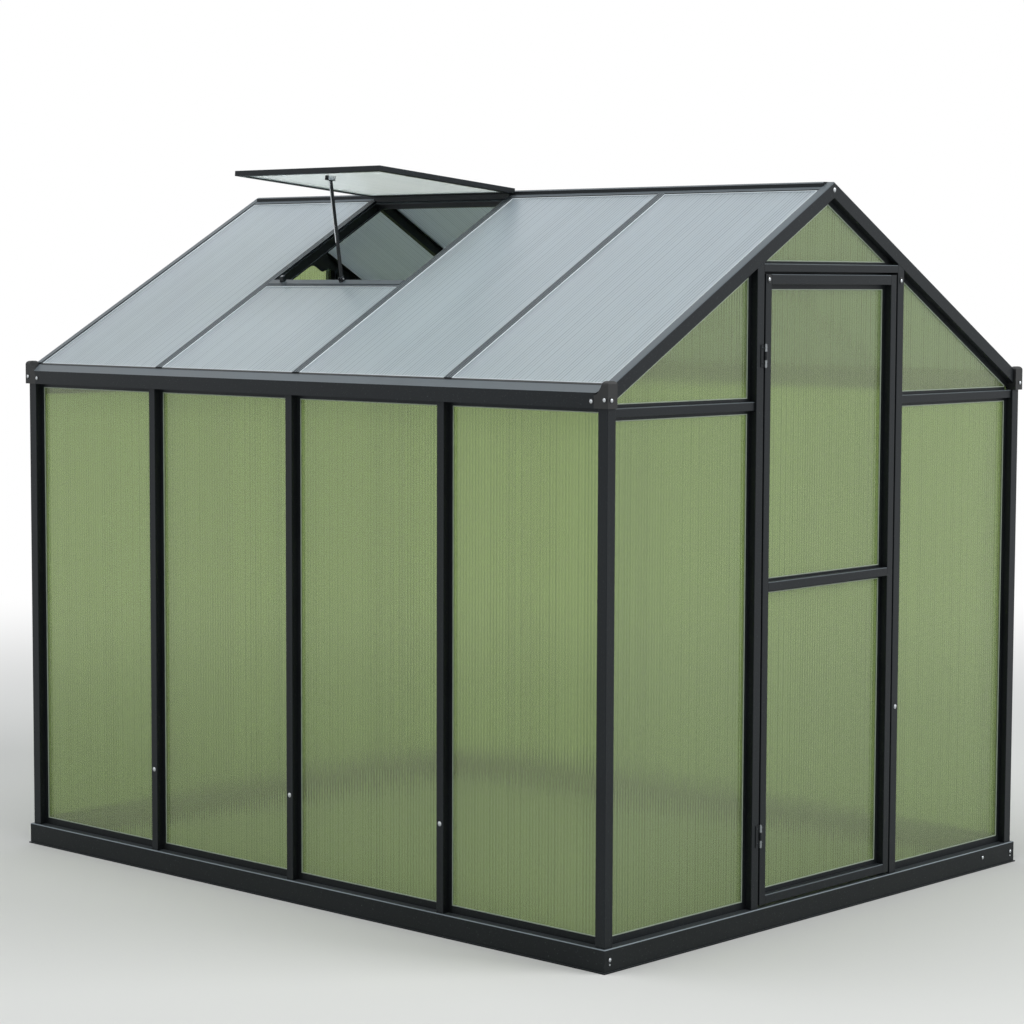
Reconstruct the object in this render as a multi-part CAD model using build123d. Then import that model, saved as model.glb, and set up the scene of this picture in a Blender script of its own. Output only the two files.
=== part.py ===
from build123d import *
import math
import os

# A walk-in greenhouse of the 6 x 8 foot class: extruded aluminium bars that grip twin-wall
# polycarbonate sheets, a hinged door in the front gable and a vent held open in the roof.
# Millimetres. X runs across the gable, Y along the house with the door at -Y, Z up from the
# ground. The origin is the middle of the footprint.

# Size over the faces of the base rails, whose foot stands out a little further
WIDTH = 1900.0
LENGTH = 2380.0
BASE_FOOT = 4.0
BAYS = 4
PITCH = 30.0
GLAZE_APEX = 2026.0

# Base and wall heights
BASE_TOP = 62.0
BASE_STEP = 8.0
BASE_INNER = 36.0
BASE_SKIN = 3.0
BASE_TOE = 14.0
CHANNEL_TOP = 82.0
POST_TOP = 1438.0
GUTTER_FLOOR = 1448.0
RAIL_LOW = 1414.0
RAIL_HIGH = 1438.0
RAIL_RECESS = 6.0

# The stack of one wall, as depths from the outer face of its bars
FLANGE_FROM = 21.0
PANEL_FROM = 24.0
PANEL_TO = 30.0
LIP_TO = 32.0
SKIN = 2.0
FLANGE = 12.0
LIP = 10.0
FIT = 1.0
EDGE_RADIUS = 1.5
TOP_RADIUS = 3.5

# Bars and posts
BAR_HALF = 13.0
SPINE_HALF = 3.0
SLOT_DEEP = 44.0
SLOT_HALF = 10.0
SLOT_MOUTH = 4.0
POST_WIDE = 32.0

# Door and doorway
JAMB_INNER = 307.0
JAMB_OUTER = 337.0
JAMB_DEEP = 40.0
STOP_THICK = 3.0
STOP_REACH = 10.0
HEADER_LOW = 1784.0
HEADER_HIGH = 1806.0
DOOR_GAP = 6.0
STILE = 26.0
DOOR_TOP_RAIL = 28.0
DOOR_MID_LOW = 926.0
DOOR_MID_HIGH = 950.0
DOOR_DEEP = 30.0
HINGE_HEIGHTS = (260.0, 1560.0)
HINGE_TALL = 60.0
KNUCKLE_RADIUS = 3.8
PIN_RADIUS = 1.8
HINGE_PLAY = 0.3
LEAF_REACH = 17.0
LEAF_THICK = 2.0

# Roof
PANEL_THICK = 6.0
RAFTER_TOP = 4.0
RAFTER_BOTTOM = -34.0
RAFTER_FLANGE = 14.0
RAFTER_DEEP = 24.0
RAFTER_LEDGE = 40.0
LEDGE_THICK = 3.0
ROOF_END_X = 914.0
RIDGE_HALF = 22.0
RIDGE_TOP = 2031.0
RIDGE_BOTTOM = 1984.0
WING_OUT = 34.0
BAR_CAP = 4.0
CAP_GROOVE = 4.5
BAR_BOTTOM = -38.0

# Roof vent, in the third bay from the front on the -X slope
SILL_FROM = 540.0
SILL_TO = 566.0
SILL_RISE = 5.0
SILL_LIP = 8.0
VENT_TILT = 5.0
VENT_LENGTH = 572.0
VENT_WIDE = 625.0
VENT_RAIL = 20.0
VENT_THICK = 16.0
VENT_GROOVE = 8.0
VENT_SHEET_LOW = 5.0
VENT_SHEET_HIGH = 11.0
STAY_AT = 470.0
STAY_LEAN = 30.0
STAY_PIN = 13.0
CATCH_Y = 520.0
GUSSET_AT = 296.0
GUSSET_DEEP = 46.0

# Eave cover and bracket
COVER_THICK = 2.0
COVER_END_IN = 26.0
COVER_END_OUT = 41.0
BRACKET_X = 36.0
BRACKET_Y = 48.0
BRACKET_LOW = 1473.0
BRACKET_TOP = 1508.0
BRACKET_CROWN = 9.0

UNDER_LEDGE = -PANEL_THICK - LEDGE_THICK
FACE_X = WIDTH / 2 - BASE_STEP
FACE_Y = LENGTH / 2 - BASE_STEP
BAY = LENGTH / BAYS
BAR_YS = [BAY * (i - BAYS / 2) for i in range(1, BAYS)]
COS = math.cos(math.radians(PITCH))
COS_45 = math.cos(math.radians(45))
SIN = math.sin(math.radians(PITCH))
DOWN_SLOPE = Vector(-COS, 0, -SIN)
SLOPE_UP = Vector(-SIN, 0, COS)
APEX = Vector(0, 0, GLAZE_APEX)


def rect(a0, b0, a1, b1):
    return Pos((a0 + a1) / 2, (b0 + b1) / 2) * Rectangle(a1 - a0, b1 - b0)


def block(x0, y0, z0, x1, y1, z1):
    return Pos((x0 + x1) / 2, (y0 + y1) / 2, (z0 + z1) / 2) * Box(x1 - x0, y1 - y0, z1 - z0)


def outline(points):
    return make_face(Polyline(*points, close=True))


def soften(section, where, radius=EDGE_RADIUS):
    """Round the corners of a section that the test picks out by their two coordinates."""
    corners = [v for v in section.vertices() if where(v.X, v.Y)]
    return fillet(corners, radius)


def soften_level(section, face):
    """Round the outer corners of a level bar, the upper ones more than the lower ones."""
    top = max(v.Y for v in section.vertices() if v.X < face + 0.01)
    section = soften(section, lambda d, z: d < face + 0.01 and z > top - 0.01, TOP_RADIUS)
    return soften(section, lambda d, z: d < face + 0.01 and z < top - TOP_RADIUS - 0.01)


def both(shape, plane):
    return [shape, mirror(shape, plane)]


def four(shape):
    left = both(shape, Plane.XZ)
    return left + [mirror(piece, Plane.YZ) for piece in left]


def slope_z(x, v=0.0):
    """Height at a distance x from the ridge line of a layer v above the roof sheets."""
    return GLAZE_APEX + v / COS - abs(x) * math.tan(math.radians(PITCH))


def slope_u(x):
    return x / COS


# Runs of a section. A section's first coordinate is the depth from the outer face or the
# distance along the wall, and its second one is the height or the other of the two.

def upright_left(section, y, z0, z1):
    plane = Plane(origin=(-FACE_X, y, z1), x_dir=(0, 1, 0), z_dir=(0, 0, -1))
    return extrude(plane * section, z1 - z0)


def upright_front(section, x, z0, z1):
    plane = Plane(origin=(x, -FACE_Y, z0), x_dir=(1, 0, 0), z_dir=(0, 0, 1))
    return extrude(plane * section, z1 - z0)


def level_left(section, y0, y1):
    plane = Plane(origin=(-FACE_X, y1, 0), x_dir=(1, 0, 0), z_dir=(0, -1, 0))
    return extrude(plane * section, y1 - y0)


def level_front(section, x0, x1):
    plane = Plane(origin=(x0, -FACE_Y, 0), x_dir=(0, 1, 0), z_dir=(1, 0, 0))
    return extrude(plane * section, x1 - x0)


def down_slope(section, y, u0, u1):
    start = Vector(0, y, GLAZE_APEX) + DOWN_SLOPE * u1
    plane = Plane(origin=start, x_dir=(0, 1, 0), z_dir=-DOWN_SLOPE)
    return extrude(plane * section, u1 - u0)


def across_slope(section, y0, y1):
    plane = Plane(origin=(0, y0, GLAZE_APEX), x_dir=DOWN_SLOPE, z_dir=(0, 1, 0))
    return extrude(plane * section, y1 - y0)


# Bar sections

def glazing_bar_section():
    """Hollow face box, two flanges over the sheets, a spine, two inner lips and a bolt slot."""
    section = rect(-BAR_HALF, 0, BAR_HALF, PANEL_FROM)
    section += rect(-BAR_HALF - FLANGE, FLANGE_FROM, BAR_HALF + FLANGE, PANEL_FROM)
    section += rect(-SPINE_HALF, PANEL_FROM, SPINE_HALF, PANEL_TO)
    section += rect(-BAR_HALF - SKIN, PANEL_TO, BAR_HALF + SKIN, LIP_TO)
    section += rect(-SLOT_HALF, LIP_TO, SLOT_HALF, SLOT_DEEP)
    section -= rect(-BAR_HALF + SKIN, SKIN, BAR_HALF - SKIN, FLANGE_FROM)
    section -= rect(-SLOT_HALF + SKIN, LIP_TO, SLOT_HALF - SKIN, SLOT_DEEP - SKIN)
    section -= rect(-SLOT_MOUTH, SLOT_DEEP - SKIN, SLOT_MOUTH, SLOT_DEEP)
    return soften(section, lambda a, d: d < 0.01)


def corner_post_section():
    """Square tube with a flange and a lip along each of the two walls that it joins."""
    inner = POST_WIDE
    section = rect(0, 0, inner, inner)
    section += rect(inner, FLANGE_FROM, inner + FLANGE, PANEL_FROM)
    section += rect(inner, PANEL_TO, inner + LIP, LIP_TO)
    section += rect(FLANGE_FROM, inner, PANEL_FROM, inner + FLANGE)
    section += rect(PANEL_TO, inner, LIP_TO, inner + LIP)
    section -= rect(SKIN, SKIN, inner - SKIN, inner - SKIN)

    def on_outer_face(a, b):
        return min(a, b) < 0.01 and (max(a, b) < 0.01 or abs(max(a, b) - inner) < 0.01)

    return soften(section, on_outer_face)


def jamb_section():
    """Tube beside the doorway: glazing groove on its outer side, door stop on its inner side."""
    wide = JAMB_OUTER - JAMB_INNER
    section = rect(0, 0, wide, JAMB_DEEP)
    section += rect(-FLANGE, FLANGE_FROM, 0, PANEL_FROM)
    section += rect(-LIP, PANEL_TO, 0, LIP_TO)
    section += rect(wide, JAMB_DEEP - STOP_THICK, wide + STOP_REACH, JAMB_DEEP)
    section -= rect(SKIN, SKIN, wide - SKIN, JAMB_DEEP - SKIN)
    return soften(section, lambda a, d: d < 0.01)


def gable_rail_section():
    """Level bar that joins a lower and an upper sheet, its outer edge rounded above."""
    middle = (RAIL_LOW + RAIL_HIGH) / 2
    face = RAIL_RECESS
    section = rect(face, RAIL_LOW, PANEL_FROM, RAIL_HIGH)
    section += rect(FLANGE_FROM, RAIL_LOW - 8, PANEL_FROM, RAIL_HIGH + 8)
    section += rect(PANEL_FROM, middle - 2, PANEL_TO, middle + 2)
    section += rect(PANEL_TO, RAIL_LOW - 6, LIP_TO, RAIL_HIGH + 6)
    section -= rect(face + SKIN, RAIL_LOW + SKIN, FLANGE_FROM, RAIL_HIGH - SKIN)
    return soften_level(section, face)


def header_section():
    """Bar over the doorway: a groove for the sheet above it and a stop behind the door."""
    section = rect(0, HEADER_LOW, PANEL_FROM, HEADER_HIGH)
    section += rect(FLANGE_FROM, HEADER_HIGH, PANEL_FROM, HEADER_HIGH + 6)
    section += rect(PANEL_FROM, HEADER_LOW, JAMB_DEEP, HEADER_LOW + SKIN)
    section += rect(PANEL_TO, HEADER_LOW, LIP_TO, HEADER_HIGH + 6)
    section += rect(JAMB_DEEP - STOP_THICK, HEADER_LOW - STOP_REACH, JAMB_DEEP, HEADER_LOW)
    section -= rect(SKIN, HEADER_LOW + SKIN, FLANGE_FROM, HEADER_HIGH - SKIN)
    return soften_level(section, 0)


def base_section():
    """Box channel, open below, with a toe turned in along each side and a small foot outside."""
    skin = BASE_SKIN
    section = rect(-BASE_STEP, 0, BASE_INNER, BASE_TOP)
    section += rect(-BASE_STEP - BASE_FOOT, 0, -BASE_STEP, skin)
    section -= rect(-BASE_STEP + skin, skin, BASE_INNER - skin, BASE_TOP - skin)
    section -= rect(-BASE_STEP + BASE_TOE, 0, BASE_INNER - BASE_TOE, skin)
    return soften(section, lambda d, z: z > BASE_TOP - 0.01, TOP_RADIUS)


def sill_channel_section():
    """Upstand channel on the base that takes the lower edge of the wall sheets."""
    section = rect(FLANGE_FROM, BASE_TOP, LIP_TO, CHANNEL_TOP)
    section -= rect(PANEL_FROM, BASE_TOP + BASE_SKIN, PANEL_TO, CHANNEL_TOP)
    section -= rect(PANEL_TO, CHANNEL_TOP - 2, LIP_TO, CHANNEL_TOP)
    return section


def gutter_section():
    """Eave gutter: fascia, floor, a groove for the wall sheets below, a rest for the roof sheets
    and a cover that carries the roof's slope on to the fascia."""
    step = -BASE_STEP
    edge = slope_z(WIDTH / 2)
    roof_rest_outer = slope_z(ROOF_END_X + 2, -PANEL_THICK)
    roof_rest_inner = slope_z(ROOF_END_X - 1, -PANEL_THICK)
    wall_out = FACE_X - ROOF_END_X - 2
    wall_in = FACE_X - ROOF_END_X + 1
    section = rect(step, POST_TOP, step + 2.5, edge)
    section += rect(step, GUTTER_FLOOR, LIP_TO, GUTTER_FLOOR + 3)
    section += outline([(wall_out, GUTTER_FLOOR), (wall_in, GUTTER_FLOOR),
                        (wall_in, roof_rest_inner), (wall_out, roof_rest_outer)])
    section += outline([(wall_out - 1.5, GUTTER_FLOOR), (wall_out + 1, GUTTER_FLOOR),
                        (wall_out + 1, slope_z(ROOF_END_X + 1)), (wall_out - 1.5, slope_z(ROOF_END_X + 3.5))])
    section += eave_cover_section()
    section += rect(FLANGE_FROM, POST_TOP - 10, PANEL_FROM, GUTTER_FLOOR)
    section += rect(PANEL_TO, POST_TOP - 8, LIP_TO, GUTTER_FLOOR)
    return soften(section, lambda d, z: d < step + 0.01 and z > edge - 0.01)


def eave_cover_section():
    """Sloped strip from the lower edge of the roof sheets to the fascia."""
    start = ROOF_END_X + 1
    end = WIDTH / 2
    under = -COVER_THICK
    return outline([(FACE_X - start, slope_z(start)), (FACE_X - end, slope_z(end)),
                    (FACE_X - end, slope_z(end, under)), (FACE_X - start, slope_z(start, under))])


def rafter_section():
    """Gable rafter: face box, ledge and lip for the roof sheet, groove for the gable sheet."""
    low = RAFTER_BOTTOM
    section = rect(0, low, RAFTER_DEEP, RAFTER_TOP)
    section += rect(RAFTER_DEEP, UNDER_LEDGE, RAFTER_LEDGE, -PANEL_THICK)
    section += rect(RAFTER_DEEP, 0, RAFTER_DEEP + 6, 2)
    section += rect(FLANGE_FROM, low - RAFTER_FLANGE, PANEL_FROM, low)
    section += rect(PANEL_FROM, low, LIP_TO, low + 3)
    section += rect(PANEL_TO, low - RAFTER_FLANGE + 2, LIP_TO, low)
    section -= rect(SKIN, low + SKIN, RAFTER_DEEP - SKIN, RAFTER_TOP - SKIN)
    return soften_level(section, 0)


def roof_bar_section():
    """T bar: a grooved cap over the sheets, ledges under them, a deep web and a bolt foot."""
    section = rect(-BAR_HALF, 0, BAR_HALF, BAR_CAP)
    for groove in (-CAP_GROOVE, CAP_GROOVE):
        section -= rect(groove - 1.2, BAR_CAP - 1, groove + 1.2, BAR_CAP)
    section += rect(-2, -PANEL_THICK, 2, 0)
    section += rect(-BAR_HALF, UNDER_LEDGE, BAR_HALF, -PANEL_THICK)
    section += rect(-3, BAR_BOTTOM, 3, UNDER_LEDGE)
    section += rect(-9, BAR_BOTTOM, 9, BAR_BOTTOM + 3)
    return soften(section, lambda w, v: v > BAR_CAP - 0.01 and abs(w) > BAR_HALF - 0.01)


def ridge_section():
    """Hollow ridge with a low crown and, each side, a wing over and a ledge under the sheets."""
    half = RIDGE_HALF
    body = outline([(-half, RIDGE_BOTTOM), (half, RIDGE_BOTTOM), (half, RIDGE_TOP - 4),
                    (half - 7, RIDGE_TOP), (-half + 7, RIDGE_TOP), (-half, RIDGE_TOP - 4)])
    for side in (-1, 1):
        for low, high in ((0, LEDGE_THICK), (UNDER_LEDGE, -PANEL_THICK)):
            body += outline([(side * half, slope_z(half, low)), (side * WING_OUT, slope_z(WING_OUT, low)),
                             (side * WING_OUT, slope_z(WING_OUT, high)), (side * half, slope_z(half, high))])
    body -= rect(-half + 3, RIDGE_BOTTOM + 3, half - 3, RIDGE_TOP - 8)
    return body


# Base

def base_corner_half(keep_side):
    """Wedge that mitres one end of a base rail at the front left corner."""
    x, y = -WIDTH / 2, -LENGTH / 2
    reach = 70
    out = BASE_FOOT + 1
    third = (x + reach, y - out) if keep_side else (x - out, y + reach)
    wedge = outline([(x - out, y - out), (x + reach, y + reach), third])
    return extrude(wedge, BASE_TOP + 1)


def base_rail_left():
    end = LENGTH / 2 + BASE_FOOT
    rail = level_left(base_section(), -end, end)
    for wedge in both(base_corner_half(True), Plane.XZ):
        rail -= wedge
    span = FACE_Y - POST_WIDE - FLANGE
    return rail + level_left(sill_channel_section(), -span, span)


def base_rail_front():
    end = WIDTH / 2 + BASE_FOOT
    rail = level_front(base_section(), -end, end)
    for wedge in both(base_corner_half(False), Plane.YZ):
        rail -= wedge
    return rail


def base_rail_back():
    span = FACE_X - POST_WIDE - FLANGE
    rail = base_rail_front() + level_front(sill_channel_section(), -span, span)
    return mirror(rail, Plane.XZ)


def front_sill_channel():
    start = -FACE_X + POST_WIDE + FLANGE
    return level_front(sill_channel_section(), start, -JAMB_OUTER - FLANGE)


# Walls

def corner_post():
    """Front left post. Its section's origin is the outer corner of the two walls."""
    plane = Plane(origin=(-FACE_X, -FACE_Y, BASE_TOP), x_dir=(1, 0, 0), z_dir=(0, 0, 1))
    return extrude(plane * corner_post_section(), POST_TOP - BASE_TOP)


def wall_bar(y):
    """Bar of a side wall, coped over the sill channel and under the gutter's groove."""
    bar = upright_left(glazing_bar_section(), y, BASE_TOP, GUTTER_FLOOR)
    inner = -FACE_X + FLANGE_FROM
    bar -= block(inner, y - 40, BASE_TOP - 1, inner + 40, y + 40, CHANNEL_TOP)
    bar -= block(inner, y - 40, POST_TOP - 10, inner + 40, y + 40, GUTTER_FLOOR + 1)
    return bar


def rafter_relief():
    """Space that the two front rafters and their flanges take from the uprights under them."""
    reach = WIDTH
    shapes = []
    for depth, low in ((-20, RAFTER_BOTTOM), (FLANGE_FROM, RAFTER_BOTTOM - RAFTER_FLANGE)):
        relief = outline([(-reach, slope_z(reach, low)), (0, slope_z(0, low)), (reach, slope_z(reach, low)),
                          (reach, GLAZE_APEX + 300), (-reach, GLAZE_APEX + 300)])
        plane = Plane(origin=(0, -FACE_Y + 90, 0), x_dir=(1, 0, 0), z_dir=(0, -1, 0))
        shapes.append(extrude(plane * relief, 90 - depth))
    return shapes[0] + shapes[1]


def door_jamb():
    """Left jamb, from the base up to the rafter."""
    jamb = upright_front(jamb_section(), -JAMB_OUTER, BASE_TOP, slope_z(JAMB_INNER))
    return jamb - rafter_relief()


def door_header():
    """Header between the jambs, coped round the stops that run up behind it."""
    header = level_front(header_section(), -JAMB_INNER, JAMB_INNER)
    stop_y = -FACE_Y + JAMB_DEEP - STOP_THICK
    stop = block(-JAMB_INNER - 1, stop_y, HEADER_LOW - 20, -JAMB_INNER + STOP_REACH, stop_y + 20, HEADER_HIGH)
    for piece in both(stop, Plane.YZ):
        header -= piece
    return header - rafter_relief()


def gable_rail(x0, x1, flange0, flange1):
    """Level rail between two uprights, coped round their flanges at each end."""
    rail = level_front(gable_rail_section(), x0, x1)
    depth = -FACE_Y + FLANGE_FROM
    rail -= block(x0 - 1, depth, RAIL_LOW - 20, x0 + flange0, depth + 40, RAIL_HIGH + 20)
    rail -= block(x1 - flange1, depth, RAIL_LOW - 20, x1 + 1, depth + 40, RAIL_HIGH + 20)
    return rail


def back_gable_bar(x):
    bar = upright_front(glazing_bar_section(), x, BASE_TOP, slope_z(0))
    inner = -FACE_Y + FLANGE_FROM
    bar -= block(x - 40, inner, BASE_TOP - 1, x + 40, inner + 40, CHANNEL_TOP)
    return mirror(bar - rafter_relief(), Plane.XZ)


def gutter():
    """Left gutter between the two eave brackets, its groove cut back at the corner posts.

    The cover runs on over the low part of each bracket and is cut on a slant round its ear."""
    end = LENGTH / 2 - BRACKET_Y
    cover_end = LENGTH / 2 - COVER_END_IN
    run = level_left(gutter_section(), -end, end)
    cover = level_left(eave_cover_section(), -cover_end, cover_end)
    x_out, x_in = -WIDTH / 2, -ROOF_END_X - 1
    y_out = COVER_END_OUT - LENGTH / 2
    slant = outline([(x_in, -cover_end), (x_out, y_out), (x_out - 1, y_out), (x_out - 1, -cover_end - 1),
                     (x_in, -cover_end - 1)])
    wedge = Pos(0, 0, GUTTER_FLOOR) * extrude(slant, 100)
    for piece in both(wedge, Plane.XZ):
        cover -= piece
    run += cover
    groove_end = FACE_Y - POST_WIDE - FLANGE
    cut = block(-FACE_X + 18, -LENGTH / 2, POST_TOP - 20, -FACE_X + 36, -groove_end, GUTTER_FLOOR)
    for piece in both(cut, Plane.XZ):
        run -= piece
    return run


def eave_bracket():
    """Moulded cap over the corner where gutter, post and rafter meet: a low part under the eave
    cover that sweeps up to an ear with a rounded crown on the very corner."""
    x0, y0 = -WIDTH / 2, -LENGTH / 2
    low, top, crown = POST_TOP, BRACKET_TOP, BRACKET_CROWN
    y1 = y0 + BRACKET_Y
    sweep = Spline((y1 - 4, BRACKET_LOW), (y0 + 36, BRACKET_LOW + 4), (y0 + 28, BRACKET_LOW + 14),
                   (y0 + 22, BRACKET_LOW + 26), (y0 + 12, top), tangents=((-1, 0), (-1, 0)))
    edges = [Line((y0, low), (y1, low)), Line((y1, low), (y1, BRACKET_LOW)),
             Line((y1, BRACKET_LOW), (y1 - 4, BRACKET_LOW)), sweep, Line((y0 + 12, top), (y0 + crown, top)),
             ThreePointArc((y0 + crown, top), (y0 + crown * (1 - COS_45), top - crown * (1 - COS_45)),
                           (y0, top - crown)),
             Line((y0, top - crown), (y0, low))]
    side = make_face(Wire(edges))
    front = soften(rect(x0, low, x0 + BRACKET_X, top), lambda x, z: z > top - 1, 12)
    from_side = extrude(Plane(origin=(x0, 0, 0), x_dir=(0, 1, 0), z_dir=(1, 0, 0)) * side, BRACKET_X)
    from_front = extrude(Plane(origin=(0, y1, 0), x_dir=(1, 0, 0), z_dir=(0, -1, 0)) * front, BRACKET_Y)
    pocket = block(x0 + BASE_STEP + PANEL_FROM - FIT, y0 + BASE_STEP + POST_WIDE, low - 1,
                   x0 + BRACKET_X + 1, y1 + 1, GUTTER_FLOOR)
    return (from_side & from_front) - pocket


# Roof

def gable_rafter():
    """Front left rafter, mitred on the ridge line and cut plumb at the eave bracket."""
    run = down_slope(rafter_section(), -FACE_Y, -60, slope_u(ROOF_END_X) + 60)
    run -= block(0, -LENGTH, 1000, WIDTH, LENGTH, 3000)
    run -= block(-WIDTH, -LENGTH, 1000, -ROOF_END_X, LENGTH, 3000)
    run -= block(-RIDGE_HALF, -FACE_Y + RAFTER_DEEP, 1000, 1, LENGTH, 3000)
    near_ridge = block(-WING_OUT, -FACE_Y + RAFTER_DEEP, slope_z(WING_OUT, -15), 1, LENGTH, 2200)
    return run - near_ridge


def roof_bar(y):
    """Left roof bar. Its cap stops at the ridge's wing and its web runs on under the ridge, where
    it meets the bar of the other slope."""
    end = slope_u(ROOF_END_X)
    bar = down_slope(roof_bar_section(), y, -60, end + 30)
    bar -= block(0, y - 40, 1800, 80, y + 40, 2200)
    bar -= block(-RIDGE_HALF, y - 40, RIDGE_BOTTOM, 80, y + 40, 2200)
    wing = outline([(0, slope_z(0, UNDER_LEDGE)), (-WING_OUT, slope_z(WING_OUT, UNDER_LEDGE)),
                    (-WING_OUT, 2200), (0, 2200)])
    plane = Plane(origin=(0, y + 40, 0), x_dir=(1, 0, 0), z_dir=(0, -1, 0))
    bar -= extrude(plane * wing, 80)
    bar -= across_slope(rect(end, -PANEL_THICK, end + 60, 40), y - 40, y + 40)
    gutter_wall = ROOF_END_X - 1
    bar -= block(-WIDTH, y - 40, 1000, -gutter_wall, y + 40, slope_z(gutter_wall, -PANEL_THICK))
    bar -= across_slope(rect(end - 5, -80, end + 60, -PANEL_THICK), y - 40, y + 40)
    return bar


def ridge():
    end = FACE_Y - RAFTER_DEEP
    plane = Plane(origin=(0, end, 0), x_dir=(1, 0, 0), z_dir=(0, -1, 0))
    return extrude(plane * ridge_section(), 2 * end)


def roof_sheet(y0, y1, u0=None):
    start = slope_u(RIDGE_HALF + 2 + PANEL_THICK * SIN) if u0 is None else u0
    return across_slope(rect(start, -PANEL_THICK, slope_u(ROOF_END_X), 0), y0, y1)


def bay_edges():
    """Edges along Y of the four sheets of a roof slope."""
    end = FACE_Y - RAFTER_DEEP - FIT
    lines = [-end] + [y for bar in BAR_YS for y in (bar - 2 - FIT, bar + 2 + FIT)] + [end]
    return list(zip(lines[0::2], lines[1::2]))


# Roof vent

def vent_bay():
    return BAR_YS[1], BAR_YS[2]


def vent_sill():
    front, back = vent_bay()
    section = rect(SILL_FROM, UNDER_LEDGE, SILL_TO, SILL_RISE)
    section += rect(SILL_TO, 0, SILL_TO + SILL_LIP, LEDGE_THICK)
    section += rect(SILL_TO, UNDER_LEDGE, SILL_TO + SILL_LIP, -PANEL_THICK)
    section -= rect(SILL_FROM + SKIN, UNDER_LEDGE + SKIN, SILL_TO - SKIN, SILL_RISE - SKIN)
    section = soften(section, lambda u, v: v > SILL_RISE - 0.01)
    return across_slope(section, front + BAR_HALF, back - BAR_HALF)


VENT_COS = math.cos(math.radians(VENT_TILT))
VENT_SIN = math.sin(math.radians(VENT_TILT))
VENT_OUT = Vector(-VENT_COS, 0, VENT_SIN)
VENT_HINGE = Vector(-RIDGE_HALF - 8, 0, slope_z(RIDGE_HALF + 8, 3) + 9)


def vent_across(section, y0, y1):
    plane = Plane(origin=(VENT_HINGE.X, y0, VENT_HINGE.Z), x_dir=VENT_OUT, z_dir=(0, 1, 0))
    return extrude(plane * section, y1 - y0)


def vent_along(section, y, p0, p1):
    start = Vector(VENT_HINGE.X, y, VENT_HINGE.Z) + VENT_OUT * p1
    plane = Plane(origin=start, x_dir=(0, 1, 0), z_dir=-VENT_OUT)
    return extrude(plane * section, p1 - p0)


def vent_edges():
    front, back = vent_bay()
    middle = (front + back) / 2
    return middle - VENT_WIDE / 2, middle + VENT_WIDE / 2


def vent_rail_section():
    """Rim rail with its outer side at zero and the sheet's groove on the other side."""
    section = rect(0, 0, VENT_RAIL, VENT_THICK)
    section -= rect(VENT_RAIL - VENT_GROOVE, VENT_SHEET_LOW, VENT_RAIL, VENT_SHEET_HIGH)
    section -= rect(SKIN, SKIN, VENT_RAIL - VENT_GROOVE - SKIN, VENT_THICK - SKIN)
    return soften(section, lambda a, q: a < 0.01)


def vent_mitre(keep_sides):
    """Wedges that mitre the rails of the vent at its four corners."""
    front, back = vent_edges()
    out = VENT_RAIL * 2
    wedges = []
    for p, inward in ((0, 1), (VENT_LENGTH, -1)):
        for y, turn in ((front, 1), (back, -1)):
            corner = [(p - inward * out, y - turn * out), (p + inward * out, y + turn * out)]
            third = (p - inward * out, y + turn * out) if keep_sides else (p + inward * out, y - turn * out)
            plane = Plane(origin=VENT_HINGE, x_dir=VENT_OUT, z_dir=VENT_OUT.cross(Vector(0, 1, 0)))
            wedges.append(extrude(plane * outline(corner + [third]), VENT_THICK * 2, both=True))
    return wedges


def vent_side_rails():
    front, back = vent_edges()
    near = vent_along(vent_rail_section(), front, 0, VENT_LENGTH)
    for wedge in vent_mitre(True):
        near -= wedge
    far = mirror(near, Plane.XZ.offset(-(front + back) / 2))
    return [near, far]


def vent_free_rail():
    front, back = vent_edges()
    section = Pos(VENT_LENGTH, 0) * mirror(vent_rail_section(), Plane.YZ)
    rail = vent_across(section, front, back)
    for wedge in vent_mitre(False):
        rail -= wedge
    return rail


def vent_hinge_rail():
    """Top rail of the vent with the hinge bead that sits on the ridge's wing."""
    front, back = vent_edges()
    rail = vent_across(vent_rail_section(), front, back)
    for wedge in vent_mitre(False):
        rail -= wedge
    wing_top = slope_z(VENT_HINGE.X, 3)
    leaf = outline([(-RIDGE_HALF, slope_z(RIDGE_HALF, 3)), (-WING_OUT, slope_z(WING_OUT, 3)),
                    (-WING_OUT, wing_top + 12), (-RIDGE_HALF, wing_top + 12)])
    plane = Plane(origin=(0, back - VENT_RAIL, 0), x_dir=(1, 0, 0), z_dir=(0, -1, 0))
    bead = extrude(plane * leaf, back - front - 2 * VENT_RAIL)
    return rail + bead


def vent_sheet():
    front, back = vent_edges()
    inset = VENT_RAIL - VENT_GROOVE + FIT
    section = rect(inset, VENT_SHEET_LOW, VENT_LENGTH - inset, VENT_SHEET_HIGH)
    return vent_across(section, front + inset, back - inset)


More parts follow.
